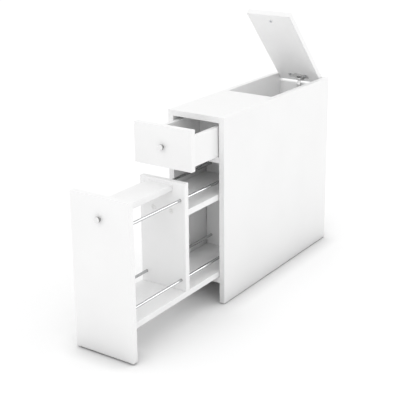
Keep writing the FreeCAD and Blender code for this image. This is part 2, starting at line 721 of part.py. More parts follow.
# Drawer: its front covers the case's front edges, and its box runs between the sides.
drawer_joints = []
drawer_dowels = []
for side in SIDES:
    middle = (drawer_half - s.drawer_wall / 2) * side
    inward = "-X" if side > 0 else "+X"
    bolt_mark = (middle, drawer_y, drawer_z + s.drawer_bolt_height)
    drawer_joints.append(Joint(bolt_mark, "+Y", inward, s.drawer_wall / 2))
    drawer_dowels.append(Dowel((middle, drawer_y, drawer_z + s.drawer_dowel_height), "+Y"))
front_corner = (-half_width, drawer_y - s.board, shelf_top)
drawer_front = Piece("drawer_front", front_corner)
front_holes = [fitting.bite_hole() for fitting in drawer_joints + drawer_dowels]
knob_mark = (zero, drawer_y - s.board, drawer_knob_z)
front_holes.append(hole(knob_mark, "+Y", s.knob_screw_radius, s.board + s.overrun))
groove_half = drawer_inner_half + s.drawer_groove
groove_height = s.drawer_ply + s.fit * 2
front_groove = drawer_front.box((-groove_half, drawer_y - s.drawer_groove, drawer_ply_z - s.fit),
                                (groove_half * 2, s.drawer_groove + s.overrun, groove_height))
drawer_front.finish(drawer_front.cut(
    drawer_front.box(front_corner, (s.case_width, s.board, s.case_height - shelf_top)),
    [drawer_front.rod(*mark) for mark in front_holes] + [front_groove]))

back_screws = []
back_screw_heights = (drawer_groove_top + s.drawer_screw_inset,
                      drawer_side_top - s.drawer_screw_inset)
for index, (side, label) in enumerate(((-1, "drawer_side_left"), (1, "drawer_side_right"))):
    corner = (-drawer_half if side < 0 else drawer_inner_half, drawer_y, drawer_z)
    wall = Piece(label, corner)
    blank = wall.box(corner, (s.drawer_wall, drawer_length, drawer_side_top - drawer_z))
    holes = drawer_joints[index].board_holes() + [drawer_dowels[index].board_hole()]
    inward = "-X" if side > 0 else "+X"
    for z in back_screw_heights:
        face = (drawer_half * side, drawer_back_y + s.drawer_wall / 2, z)
        back_screws.append((face, inward))
        holes += screw_holes(face, inward, s.drawer_wall + s.overrun, SMALL_SCREW)
    groove_x = -groove_half if side < 0 else drawer_inner_half - s.overrun
    groove = wall.box((groove_x, drawer_y - s.overrun, drawer_ply_z - s.fit),
                      (s.drawer_groove + s.overrun, drawer_length + s.overrun * 2, groove_height))
    wall.finish(wall.cut(blank, [wall.rod(*mark) for mark in holes] + [groove]))

board("drawer_back", (-drawer_inner_half, drawer_back_y, drawer_groove_top),
      (drawer_inner_half * 2, s.drawer_wall, drawer_back_top - drawer_groove_top),
      [hole(shift(face, inward, s.drawer_wall), inward, s.screw_radius, s.screw_length)
       for face, inward in back_screws])
ply_half = groove_half - s.fit
board("drawer_bottom", (-ply_half, drawer_y - s.drawer_groove + s.fit, drawer_ply_z),
      (ply_half * 2, drawer_length + s.drawer_groove - s.fit, s.drawer_ply))
knob("drawer_knob", knob_mark, "-Y")
knob_screw("drawer_knob_screw", (zero, drawer_y, drawer_knob_z), "-Y")
drawer_cams = Piece("drawer_cams", (zero, drawer_y, drawer_z))
drawer_cams.finish(drawer_cams.group([joint.cam(drawer_cams) for joint in drawer_joints]))
drawer_bolts = Piece("drawer_cam_bolts", (zero, drawer_y, drawer_z))
drawer_bolts.finish(drawer_bolts.group([joint.bolt(drawer_bolts) for joint in drawer_joints]))
drawer_pins = Piece("drawer_dowels", (zero, drawer_y, drawer_z))
drawer_pins.finish(drawer_pins.group([dowel.pin(drawer_pins) for dowel in drawer_dowels]))
drawer_screws = Piece("drawer_back_screws", (zero, drawer_back_y, drawer_z))
drawer_screws.finish(drawer_screws.group([
    small_screw(drawer_screws, face, inward, s.drawer_wall + s.screw_length)
    for face, inward in back_screws]))
pads("drawer_tip_pads", drawer_back_top, drawer_back_y, s.bay_pad_place - s.pad_width, s.drawer_wall)

# Pull-out: a tall front, a narrow top board and a bottom board joined to it by cams and dowels.
slab_front_joints = []
for side in SIDES:
    place = (s.slab_screw * side - s.slab_offset, pullout_y, slab_z + s.board / 2)
    slab_front_joints.append(Joint(place, "+Y", "-Z", s.board / 2))
floor_joints = []
for side in SIDES:
    place = (s.floor_screw * side, pullout_y, pullout_z + s.board / 2)
    floor_joints.append(Joint(place, "+Y", "-Z", s.board / 2))
slab_dowel = Dowel((-s.slab_offset, pullout_y, slab_z + s.board / 2), "+Y")
floor_dowel = Dowel((zero, pullout_y, pullout_z + s.board / 2), "+Y")
pullout_joints = slab_front_joints + floor_joints
pullout_dowels = [slab_dowel, floor_dowel]
rail_places = [(rail_x * side, z) for side in SIDES for z in rail_heights]


def rail_holes(y, direction):
    """Blind holes for the ends of the four rails in one face."""
    return [hole((x, y, z), direction, s.rail_radius, s.rail_bite) for x, z in rail_places]


pullout_knob_z = pullout_front_top - s.pullout_knob_drop
pullout_knob_mark = (zero, pullout_y - s.board, pullout_knob_z)
front_holes = [fitting.bite_hole() for fitting in pullout_joints + pullout_dowels]
front_holes += rail_holes(pullout_y, "-Y")
front_holes.append(hole(pullout_knob_mark, "+Y", s.knob_screw_radius, s.board + s.overrun))
board("pullout_front", (-half_width, pullout_y - s.board, s.front_floor_gap),
      (s.case_width, s.board, pullout_front_top - s.front_floor_gap), front_holes)

# Long board screws, each as the point at its head's face and the way that it is driven.
def screw_pair(spread, y, z, way, offset=zero):
    """Two long screws at both sides of the middle."""
    return [((spread * side - offset, y, z), way) for side in SIDES]


slab_screws = screw_pair(s.slab_screw, divider_back_y, slab_z + s.board / 2, "-Y", s.slab_offset)
shelf_front_screws = screw_pair(s.shelf_screw, divider_y, mid_z + s.board / 2, "+Y")
shelf_back_screws = screw_pair(s.shelf_screw, pullout_rear_y, mid_z + s.board / 2, "-Y")
divider_screws = screw_pair(s.floor_screw, divider_y + s.board / 2, pullout_z, "+Z")
back_floor_screws = screw_pair(s.floor_screw, pullout_back_y + s.board / 2, pullout_z, "+Z")


def entry_holes(screws):
    """The holes in the board that the screws' heads are sunk in."""
    return [mark for face, way in screws
            for mark in screw_holes(face, way, s.board + s.overrun, LONG_SCREW)]


def thread_holes(screws):
    """The holes in the board that the screws' threads bite in."""
    return [hole(shift(face, way, s.board), way, s.long_screw_radius, s.long_screw_length - s.board)
            for face, way in screws]


slab_holes = [mark for joint in slab_front_joints for mark in joint.board_holes()]
slab_holes.append(slab_dowel.board_hole())
board("pullout_top_board", (-s.slab_offset - s.slab_width / 2, pullout_y, slab_z),
      (s.slab_width, s.front_section, s.board), slab_holes + thread_holes(slab_screws))

divider_holes = rail_holes(divider_y, "+Y") + rail_holes(divider_back_y, "-Y")
divider_holes += entry_holes(slab_screws + shelf_front_screws) + thread_holes(divider_screws)
board("divider", (-pullout_half, divider_y, pullout_floor),
      (pullout_half * 2, s.board, divider_top - pullout_floor), divider_holes)

board("middle_shelf", (-pullout_half, divider_back_y, mid_z),
      (pullout_half * 2, pullout_back_y - divider_back_y, s.board),
      thread_holes(shelf_front_screws + shelf_back_screws))

floor_holes = [mark for joint in floor_joints for mark in joint.board_holes()]
floor_holes.append(floor_dowel.board_hole())
floor_holes += entry_holes(divider_screws + back_floor_screws)
board("pullout_bottom", (-pullout_half, pullout_y, pullout_z),
      (pullout_half * 2, pullout_length, s.board), floor_holes)

back_board_holes = rail_holes(pullout_back_y, "+Y") + entry_holes(shelf_back_screws)
board("pullout_back", (-pullout_half, pullout_back_y, pullout_floor),
      (pullout_half * 2, s.board, pullout_back_top - pullout_floor),
      back_board_holes + thread_holes(back_floor_screws))

# Rails: polished metal rods that keep the contents in, with their ends let into the boards.
rail_spans = (("front_rails", pullout_y, divider_y), ("rear_rails", divider_back_y, pullout_back_y))
for label, start, end in rail_spans:
    rails = Piece(label, (zero, start, pullout_floor))
    rails.finish(rails.group([
        rails.rod((x, start - s.rail_bite, z), "+Y", s.rail_radius, end - start + s.rail_bite * 2)
        for x, z in rail_places]))

knob("pullout_knob", pullout_knob_mark, "-Y")
knob_screw("pullout_knob_screw", (zero, pullout_y, pullout_knob_z), "-Y")
pullout_cams = Piece("pullout_cams", (zero, pullout_y, pullout_z))
pullout_cams.finish(pullout_cams.group([joint.cam(pullout_cams) for joint in pullout_joints]))
pullout_bolts = Piece("pullout_cam_bolts", (zero, pullout_y, pullout_z))
pullout_bolts.finish(pullout_bolts.group([joint.bolt(pullout_bolts) for joint in pullout_joints]))
pullout_pins = Piece("pullout_dowels", (zero, pullout_y, pullout_z))
pullout_pins.finish(pullout_pins.group([dowel.pin(pullout_pins) for dowel in pullout_dowels]))

screws = Piece("pullout_screws", (zero, pullout_y, pullout_z))
screw_solids = []
for face, way in slab_screws + shelf_front_screws + shelf_back_screws + divider_screws + back_floor_screws:
    head = screws.rod(face, way, s.long_screw_head, s.long_screw_head_depth)
    shank = screws.rod(face, way, s.long_screw_radius, s.long_screw_length)
    screw_solids.append(screws.join([head, shank]))
screws.finish(screws.group(screw_solids))

caps = Piece("screw_caps", (zero, divider_y, mid_z))
caps.finish(caps.group([caps.rod(face, "-Y", s.cap_radius, s.cap_thickness)
                        for face, way in shelf_front_screws]))

# Pads on the pull-out: over its back board, under its rear end and at the back board's edges.
pads("pullout_tip_pads", pullout_back_top, pullout_back_y, s.tip_pad_place, s.board)
rear_pad_y = pullout_rear_y - s.pad_length - s.pad_inset
pads("pullout_rear_glides", pullout_z - s.glide, rear_pad_y, s.rear_pad_place)
guides = Piece("side_guides", (zero, pullout_back_y, pullout_floor))
guide_solids = []
for side in SIDES:
    x = pullout_half if side > 0 else -pullout_half - s.glide
    for z in (pullout_floor + s.guide_inset, pullout_back_top - s.guide_inset - s.guide_length):
        guide_solids.append(guides.box((x, pullout_back_y, z), (s.glide, s.board, s.guide_length)))
guides.finish(guides.group(guide_solids))

# Build, test and write every sub-part.
doc.recompute()
faults = [item.Name for item in doc.Objects if "Invalid" in item.State or "Error" in item.State]
faults += [item.Label for item in NODES if item.Shape.isNull() or not item.Shape.isValid()]
if faults:
    raise SystemExit("Not built: " + ", ".join(faults))
os.makedirs("parts", exist_ok=True)
for item in NODES:
    item.Shape.exportStep(f"parts/{item.Label}.step")
    print(item.Label, len(item.Shape.Solids), round(item.Shape.Volume, 1))
print(len(NODES), "sub-parts")
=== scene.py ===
"""A narrow bathroom cabinet in white melamine board, with a lift-up lid, a drawer and a pull-out."""
import json
import math

import bmesh
import bpy
from mathutils import Matrix, Vector


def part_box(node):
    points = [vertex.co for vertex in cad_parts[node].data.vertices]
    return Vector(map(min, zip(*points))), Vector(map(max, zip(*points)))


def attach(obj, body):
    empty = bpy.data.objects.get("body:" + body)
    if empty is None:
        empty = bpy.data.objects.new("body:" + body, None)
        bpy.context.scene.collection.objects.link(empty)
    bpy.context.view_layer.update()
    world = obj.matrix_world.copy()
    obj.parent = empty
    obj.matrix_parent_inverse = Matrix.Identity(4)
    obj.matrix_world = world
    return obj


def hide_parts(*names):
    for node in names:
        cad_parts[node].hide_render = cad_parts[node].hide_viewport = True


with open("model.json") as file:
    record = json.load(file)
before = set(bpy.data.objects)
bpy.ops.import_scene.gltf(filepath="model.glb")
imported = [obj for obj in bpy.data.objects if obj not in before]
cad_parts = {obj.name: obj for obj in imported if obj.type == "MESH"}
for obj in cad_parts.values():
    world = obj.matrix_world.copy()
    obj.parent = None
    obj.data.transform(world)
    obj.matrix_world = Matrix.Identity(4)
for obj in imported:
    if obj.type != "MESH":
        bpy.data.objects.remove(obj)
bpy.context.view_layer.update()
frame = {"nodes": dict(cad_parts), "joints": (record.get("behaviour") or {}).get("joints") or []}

# Case boards
# Seven particle boards faced with white melamine foil. They are sawn square, and their edges are
# covered with a thin ABS strip that is glued on hot and scraped to a small round.
mm = 0.001
X, Y, Z = Vector((1, 0, 0)), Vector((0, 1, 0)), Vector((0, 0, 1))


def linear(hex_colour):
    """The linear RGBA of an sRGB hex colour."""
    parts = [int(hex_colour[i:i + 2], 16) / 255 for i in (1, 3, 5)]
    return tuple(c / 12.92 if c <= 0.04045 else ((c + 0.055) / 1.055) ** 2.4 for c in parts) + (1.0,)


def per_metre(pattern_mm):
    """The texture scale at which one feature of a pattern is so many millimetres wide."""
    return 1 / (pattern_mm * mm)


def add(tree, kind, settings=None, sockets=None):
    """Adds one shader node with its settings, and sets or links its input sockets."""
    shader_node = tree.nodes.new(kind)
    for name, value in (settings or {}).items():
        setattr(shader_node, name, value)
    for name, value in (sockets or {}).items():
        socket = shader_node.inputs[name]
        if isinstance(value, bpy.types.NodeSocket):
            tree.links.new(value, socket)
        else:
            socket.default_value = value
    return shader_node


def surface(name, pale, dark, patch_mm, gloss, grain_mm, grain_depth_mm, stretch=(1, 1, 1),
            lathed=False, **plain):
    """A surface with patches between two colours and two roughnesses, and a fine relief.

    The relief is a grain, or rings round the piece's own Z where it is lathed.
    """
    material = bpy.data.materials.new(name)
    material.use_nodes = True
    tree = material.node_tree
    tree.nodes.clear()
    place = add(tree, "ShaderNodeTexCoord").outputs["Object"]
    along = add(tree, "ShaderNodeMapping", {}, {"Vector": place, "Scale": stretch}).outputs[0]
    patches = add(tree, "ShaderNodeTexNoise", {},
                  {"Vector": along, "Scale": per_metre(patch_mm), "Detail": 4.0})
    if lathed:
        rings_at_one = 20 / math.tau
        grains = add(tree, "ShaderNodeTexWave", {"wave_type": "RINGS", "rings_direction": "Z"},
                     {"Vector": along, "Scale": per_metre(grain_mm) / rings_at_one})
    else:
        grains = add(tree, "ShaderNodeTexNoise", {},
                     {"Vector": along, "Scale": per_metre(grain_mm), "Detail": 2.0})
    spread = {"From Min": 0.35, "From Max": 0.65}
    blend = add(tree, "ShaderNodeMapRange", {}, {"Value": patches.outputs["Fac"], **spread})
    colour = add(tree, "ShaderNodeMix", {"data_type": "RGBA"},
                 {"Factor": blend.outputs[0], "A": linear(dark), "B": linear(pale)})
    rough = add(tree, "ShaderNodeMapRange", {},
                {"Value": patches.outputs["Fac"], **spread, "To Min": gloss[0], "To Max": gloss[1]})
    relief = add(tree, "ShaderNodeBump", {},
                 {"Height": grains.outputs["Fac"], "Strength": 0.5, "Distance": grain_depth_mm * mm})
    shader = add(tree, "ShaderNodeBsdfPrincipled", {},
                 {"Base Color": colour.outputs[2], "Roughness": rough.outputs[0],
                  "Normal": relief.outputs[0], **plain})
    add(tree, "ShaderNodeOutputMaterial", {}, {"Surface": shader.outputs[0]})
    return material


# Melamine foil pressed on with a satin plate: a clean white with a soft broad gloss and faint
# clouding over a hand's width. Its pearl grain is 0.2 mm, and is drawn at 1 mm so that it shows.
melamine_foil = surface("melamine_foil", "#eeeeee", "#ececec", 110, (0.36, 0.46), 1.0, 0.01, IOR=1.5)

# ABS edge strip, extruded and scraped: a little brighter and glossier than the foil, with faint
# scraper chatter. The chatter is 0.4 mm apart, and is drawn at 2 mm so that it shows.
edge_strip = surface("abs_edge_strip", "#efefef", "#ececec", 30, (0.28, 0.38), 2.0, 0.006, IOR=1.53)

# Raw particle board, bored or grooved: straw and tan chips of two or three millimetres, quite matt.
chip_core = surface("particle_board_core", "#dcc190", "#a98457", 2.5, (0.8, 0.9), 0.9, 0.3, IOR=1.5)


def cad_points(node_name):
    """The CAD node's own mesh, with its doubled points joined."""
    shape = bmesh.new()
    shape.from_mesh(frame["nodes"][node_name].data)
    doubled_within = 0.002 * mm
    bmesh.ops.remove_doubles(shape, verts=shape.verts, dist=doubled_within)
    return shape


def cad_shape(node_name):
    """The CAD node's own shape, with the cuts across its flat faces gone."""
    shape = cad_points(node_name)
    flat_within = math.radians(0.5)
    bmesh.ops.dissolve_limit(shape, angle_limit=flat_within, verts=shape.verts, edges=shape.edges)
    return shape


def ease(shape, width, shortest=0.0, steps=3):
    """Rounds every square outer edge that is longer than the shortest."""
    sharp = math.radians(60)
    square = [edge for edge in shape.edges
              if len(edge.link_faces) == 2 and edge.calc_length() > shortest
              and edge.calc_face_angle_signed(0) > sharp]
    bmesh.ops.bevel(shape, geom=square, offset=width, offset_type="OFFSET", segments=steps, profile=0.5,
                    affect="EDGES", clamp_overlap=False)


def finished(name, shape, skins, body, slot, *stands_for, place=Matrix()):
    """Makes the piece from its shape and skins, and says what it rides on and what it stands for; its
    slot is not used.
    """
    mesh = bpy.data.meshes.new(name)
    for face in shape.faces:
        face.smooth = True
    shape.to_mesh(mesh)
    shape.free()
    mesh.set_sharp_from_angle(angle=math.radians(40))
    for skin in skins:
        mesh.materials.append(skin)
    piece = bpy.data.objects.new(name, mesh)
    bpy.context.scene.collection.objects.link(piece)
    piece.matrix_world = place
    flat = piece.modifiers.new("flat_faces", "WEIGHTED_NORMAL")
    flat.keep_sharp = True
    flat.weight = 100
    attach(piece, body)
    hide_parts(*stands_for)
    return piece


def edged_board(node_name, body, round_mm=0.8, bored=chip_core):
    """A board with eased edges: foil on its two faces, strip round its edges, raw core in its bores."""
    shape = cad_shape(node_name)
    longer_than_bores = 9 * mm
    ease(shape, round_mm * mm, shortest=longer_than_bores)
    shape.normal_update()
    broad = max(shape.faces, key=lambda face: face.calc_area()).normal.copy()
    points = [vert.co.copy() for vert in shape.verts]
    skin_depth = 0.4 * mm
    for face in shape.faces:
        reach = max(point.dot(face.normal) for point in points)
        outside = reach - face.calc_center_median().dot(face.normal) < skin_depth
        across = abs(face.normal.dot(broad)) > 0.999
        face.material_index = (0 if across else 1) if outside else 2
    return finished("edged_" + node_name, shape, (melamine_foil, edge_strip, bored), body,
                    "white_board", node_name)


for board in ("side_left", "side_right", "bottom_board", "drawer_shelf", "top_board", "back_panel",
              "compartment_wall"):
    edged_board(board, "case")

# Case joinery
# Die-cast zinc cam housings turned tight on zinc-plated bolts, and fluted beech dowels glued in
# between them. Only the housings' faces show, under the boards.

# Zinc, die cast and tumbled: dull blotchy grey with a soft sheen.
cast_zinc = surface("die_cast_zinc", "#c0c0bf", "#9c9c9c", 3, (0.36, 0.52), 0.8, 0.06, Metallic=1.0)

# Steel, zinc plated and clear passivated: bright, with a faint cloudy bloom.
plated_steel = surface("zinc_plated_steel", "#d8dadc", "#bdc0c3", 1.5, (0.20, 0.32), 0.5, 0.02,
                       Metallic=1.0)

# Beech, turned and fluted: pinkish straw wood with dark flecks along the grain, unfinished and matt.
beech_wood = surface("fluted_beech", "#dcb98c", "#b98e63", 0.6, (0.62, 0.78), 0.5, 0.12, (0.12, 1, 1),
                     IOR=1.5)


def dress(node_name, material):
    """Gives a CAD node its material."""
    mesh = frame["nodes"][node_name].data
    mesh.materials.clear()
    mesh.materials.append(material)


def prism(outline, low, high, shrink=1.0):
    """A straight-sided solid on an outline of (x, y) points, from low to high along Z."""
    shape = bmesh.new()
    base = [shape.verts.new((x, y, low)) for x, y in outline]
    top = [shape.verts.new((x * shrink, y * shrink, high)) for x, y in outline]
    shape.faces.new(base[::-1])
    shape.faces.new(top)
    for i in range(len(outline)):
        j = (i + 1) % len(outline)
        shape.faces.new((base[i], base[j], top[j], top[i]))
    bmesh.ops.recalc_face_normals(shape, faces=shape.faces)
    return shape


def cross_cutter(reach, half_width, depth):
    """The tapered cross that a driver's tip leaves in a head whose face is at zero."""
    a, b = reach, half_width
    tip_share = 0.55
    plus = [(b, -a), (b, -b), (a, -b), (a, b), (b, b), (b, a),
            (-b, a), (-b, b), (-a, b), (-a, -b), (-b, -b), (-b, -a)]
    return prism(plus, -0.3 * depth, depth, tip_share)


def joined(parts):
    """One shape from several, each given as (shape, placement)."""
    whole = bmesh.new()
    for shape, placement in parts:
        copy = bpy.data.meshes.new("part")
        shape.to_mesh(copy)
        copy.transform(placement)
        whole.from_mesh(copy)
        bpy.data.meshes.remove(copy)
    return whole


def carved(shape, cutter):
    """The shape with the cutter's volume taken out of it."""
    pair = []
    for name, source in (("blank", shape), ("cutter", cutter)):
        mesh = bpy.data.meshes.new(name)
        source.to_mesh(mesh)
        pair.append(bpy.data.objects.new(name, mesh))
        bpy.context.scene.collection.objects.link(pair[-1])
    cut = pair[0].modifiers.new("cut", "BOOLEAN")
    cut.object = pair[1]
    cut.solver = "EXACT"
    depsgraph = bpy.context.evaluated_depsgraph_get()
    result = bpy.data.meshes.new_from_object(pair[0].evaluated_get(depsgraph))
    shape.clear()
    shape.from_mesh(result)
    bpy.data.meshes.remove(result)
    for item in pair:
        mesh = item.data
        bpy.data.objects.remove(item)
        bpy.data.meshes.remove(mesh)
    return shape


def solids_of(node_name):
    """The points of each separate solid in a CAD node, always in the same order."""
    shape = cad_points(node_name)
    left = set(shape.verts)
    solids = []
    for first in shape.verts:
        if first not in left:
            continue
        left.remove(first)
        heap = [first]
        points = []
        while heap:
            vert = heap.pop()
            points.append(vert.co.copy())
            for edge in vert.link_edges:
                other = edge.other_vert(vert)
                if other in left:
                    left.remove(other)
                    heap.append(other)
        solids.append(points)
    shape.free()
    return solids


def seat_along(points, way):
    """A placement with local +Z along the way, the length, and whether the far half is the wider."""
    turn = way.to_track_quat("Z", "Y").to_matrix()
    local = [turn.inverted() @ point for point in points]
    low = Vector([min(point[i] for point in local) for i in range(3)])
    high = Vector([max(point[i] for point in local) for i in range(3)])
    middle = (low + high) / 2
    near, far = (max((point - middle).xy.length for point in local if (point.z > middle.z) == half)
                 for half in (False, True))
    start = turn @ Vector((middle.x, middle.y, low.z))
    return Matrix.Translation(start) @ turn.to_4x4(), high.z - low.z, far > near


def seats(node_name, into=None):
    """The placement and the length of each fitting of a CAD node.

    Where no direction is given, it is along the fitting's longest side, from its wider end.
    """
    found = []
    for points in solids_of(node_name):
        if into is None:
            spans = [max(p[i] for p in points) - min(p[i] for p in points) for i in range(3)]
            way = (X, Y, Z)[spans.index(max(spans))]
            if seat_along(points, way)[2]:
                way = -way
        else:
            way = into(sum(points, Vector()) / len(points)) if callable(into) else into
        found.append(seat_along(points, way)[:2])
    return found


def cam_housings(node_name, body, into):
    """The node's housings, each with a driver's cross sunk in its face."""
    driver = cross_cutter(4.6 * mm, 0.9 * mm, 2.4 * mm)
    cutters = joined([(driver, seat) for seat, _ in seats(node_name, into)])
    finished("crossed_" + node_name, carved(cad_shape(node_name), cutters), (cast_zinc,), body,
             "cam_zinc", node_name)


cam_housings("case_cams", "case", Z)
dress("case_cam_bolts", plated_steel)
dress("case_dowels", beech_wood)

# Feet
# Four glides of white polypropylene, each moulded round the head of a steel nail. They are driven in
# under the sides, and hold the boards' lower edges just off the floor.

# Polypropylene moulded in a spark-eroded tool: milky white with low gloss. The tool's texture is
# 0.1 mm, and is drawn at 0.6 mm so that it shows.
moulded_plastic = surface("moulded_polypropylene", "#e9e9e8", "#dededd", 9, (0.42, 0.58), 0.6, 0.03,
                          IOR=1.49)


def turned(profile_mm, sides=48):
    """A solid of revolution round Z from (radius, height) points in millimetres, axis to axis."""
    shape = bmesh.new()
    rings = []
    for radius, height in profile_mm:
        if radius == 0:
            rings.append([shape.verts.new((0, 0, height * mm))])
            continue
        rings.append([shape.verts.new((radius * mm * math.cos(math.tau * i / sides),
                                       radius * mm * math.sin(math.tau * i / sides), height * mm))
                      for i in range(sides)])
    for lower, upper in zip(rings, rings[1:]):
        for i in range(sides):
            j = (i + 1) % sides
            if len(lower) == 1:
                shape.faces.new((lower[0], upper[j], upper[i]))
            elif len(upper) == 1:
                shape.faces.new((lower[i], lower[j], upper[0]))
            else:
                shape.faces.new((lower[i], lower[j], upper[j], upper[i]))
    bmesh.ops.recalc_face_normals(shape, faces=shape.faces)
    return shape


foot = turned([(0, 0), (4.2, 0), (5.2, 0.25), (5.8, 0.8), (6, 1.4), (5.9, 1.8), (5.6, 2.0), (1.2, 2.0),
               (1.2, 11.2), (0.5, 13.2), (0, 14.0)])
finished("nail_glides", joined([(foot, seat) for seat, _ in seats("feet", Z)]), (moulded_plastic,),
         "case", "white_plastic", "feet")

# Case glides and bumpers
# Thin self-adhesive strips of slippery plastic under the drawer and the pull-out, and two soft dots
# that the lid comes down on. They are cut from strip and slightly rounded.


def moulded(node_name, body, round_mm=0.3):
    """A CAD node's pads in white plastic, rounded on all their edges."""
    shape = cad_shape(node_name)
    ease(shape, round_mm * mm)
    return finished("soft_" + node_name, shape, (moulded_plastic,), body, "white_plastic", node_name)


for pads in ("drawer_runners", "bay_glides", "lid_bumpers"):
    moulded(pads, "case")

# Stops
# Two small blocks of the same board, each screwed up under a board. The backs of the drawer and of
# the pull-out come up to them.
for block in ("drawer_stop", "pullout_stop"):
    edged_board(block, "case", 0.5)


def thread(core, crest, pitch, start, end, steps=14):
    """A helical ridge round Z in millimetres, closed at both ends."""
    shape = bmesh.new()
    rings = []
    count = int((end - start) / pitch * steps)
    for i in range(count + 1):
        angle = math.tau * i / steps
        height = start + (end - start) * i / count
        swell = min(1, 0.1 + i / 4, 0.1 + (count - i) / 4)
        top = core * 0.9 + (crest - core * 0.9) * swell
        corners = ((core * 0.9, -0.3 * pitch), (top, 0), (core * 0.9, 0.3 * pitch))
        rings.append([shape.verts.new((r * mm * math.cos(angle), r * mm * math.sin(angle),
                                       (height + dz) * mm)) for r, dz in corners])
    for a, b in zip(rings, rings[1:]):
        for k in range(3):
            shape.faces.new((a[k], a[(k + 1) % 3], b[(k + 1) % 3], b[k]))
    shape.faces.new(rings[0][::-1])
    shape.faces.new(rings[-1])
    bmesh.ops.recalc_face_normals(shape, faces=shape.faces)
    if shape.calc_volume(signed=True) < 0:
        bmesh.ops.reverse_faces(shape, faces=shape.faces)
    return shape


def screw(length, head, head_depth, radius, pitch, pan=False, pointed=True):
    """A cross-head screw in millimetres, with the face of its head at zero and its tip along +Z."""
    core = radius * 0.76
    rim = [(0, 0), (head * 0.62, 0), (head * 0.86, head_depth * 0.14), (head, head_depth * 0.5),
           (head, head_depth * 0.94), (head * 0.95, head_depth)]
    cone = [(0, 0), (head * 0.9, 0), (head, head_depth * 0.12), (head, head_depth * 0.25)]
    tip = radius * 2 if pointed else radius * 0.5
    end = core * 0.3 if pointed else core * 0.7
    shank = [(core, head_depth), (core, length - tip), (end, length - 0.1), (0, length)]
    blank = turned((rim if pan else cone) + shank, 32)
    carved(blank, cross_cutter(head * 0.55 * mm, head * 0.13 * mm, head_depth * 0.7 * mm))
    ridge = thread(core, radius, pitch, head_depth + 0.6, length - tip)
    return joined([(blank, Matrix()), (ridge, Matrix())])


def screws(node_name, body, into=None, **kind):
    """The node's screws of one kind, each as long as the CAD's."""
    parts = [(screw(length / mm, **kind), seat) for seat, length in seats(node_name, into)]
    finished("cross_head_" + node_name, joined(parts), (plated_steel,), body, "zinc_screw", node_name)


board_screw = {"head": 3.2, "head_depth": 1.8, "radius": 1.5, "pitch": 1.2}
screws("stop_screws", "case", **board_screw)

# Lid
# One board like the others, with its lower rear edge rounded so that it clears the back panel as it
# swings up. The pocket milled for its hinge is sealed in white.
edged_board("lid", "lid", bored=edge_strip)

# Lid hinge
# A cup hinge of pressed steel, nickel plated: a cup with two screwed wings sunk in the lid, a bent
# arm on a pin, and a plate screwed on the back panel.

# Nickel plating on pressed steel: an even, bright grey with a clear gloss.
nickel_plate = surface("nickel_plated_steel", "#e4e4e4", "#dcdcdc", 14, (0.20, 0.26), 0.7, 0.02,
                       Metallic=1.0)

lid_joint = next(joint for joint in frame["joints"] if joint["name"] == "lid_hinge")
pivot = Vector(lid_joint["pos_m"])
lid_turn = Matrix.Rotation(math.radians(lid_joint["range_deg"][0]), 4, "X")
lid_swing = Matrix.Translation(pivot) @ lid_turn @ Matrix.Translation(-pivot)
into_lid = lid_turn @ Z
pivot_behind_cup = 12.5 * mm
cup_mouth = Vector((0, pivot.y - pivot_behind_cup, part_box("top_board")[0].z))


def arc(centre, radius, start_deg, end_deg, steps=10):
    """Points on an arc, in the units of its centre and radius."""
    turns = [math.radians(start_deg + (end_deg - start_deg) * i / steps) for i in range(steps + 1)]
    return [(centre[0] + radius * math.cos(t), centre[1] + radius * math.sin(t)) for t in turns]


def scaled(outline):
    """An outline in metres from one in millimetres."""
    return [(x * mm, y * mm) for x, y in outline]


slot_half, slot_front, slot_rear, slot_deep = 6, -3, 19, 8
slot_outline = [(-slot_half, slot_front), (slot_half, slot_front),
                (slot_half, slot_rear), (-slot_half, slot_rear)]
slot = prism(scaled(slot_outline), -2 * mm, slot_deep * mm)
bowl = turned([(0, 11.3), (14.6, 11.3), (16.4, 10.8), (17.2, 9.6), (17.4, 8.4), (17.4, 0), (17.9, -0.1),
               (18.0, -0.35), (17.7, -0.6), (16.9, -0.6), (16.5, -0.3), (15.9, -0.2), (0, -0.2)], 72)
carved(bowl, slot)
wing_low, wing_high, wing_tip, wing_round = -12.3, 4.2, 31, 3
wing_corners = ((1, wing_high, 0), (-1, wing_high, 90), (-1, wing_low, 180), (1, wing_low, 270))
wing = []
for x_way, y_edge, start_deg in wing_corners:
    inward = wing_round if y_edge == wing_low else -wing_round
    corner = (x_way * (wing_tip - wing_round), y_edge + inward)
    wing += arc(corner, wing_round, start_deg, start_deg + 90, 6)
wings = prism(scaled(wing), -1.2 * mm, -0.1 * mm)
ease(wings, 0.3 * mm, steps=2)
carved(wings, slot)
cup = joined([(bowl, Matrix()), (wings, Matrix())])
bmesh.ops.transform(cup, matrix=lid_swing @ Matrix.Translation(cup_mouth), verts=cup.verts)
finished("pressed_cup", cup, (nickel_plate,), "lid", "hinge_metal", "hinge_cup")

pin_shape = turned([(0, 0), (0.9, 0), (1.25, 0.3), (1.25, 19.7), (0.9, 20.0), (0, 20.0)], 24)
finished("riveted_pin", joined([(pin_shape, seat) for seat, _ in seats("hinge_pin", X)]),
         (nickel_plate,), "lid", "hinge_metal", "hinge_pin")
screws("hinge_cup_screws", "lid", into=into_lid, **board_screw)

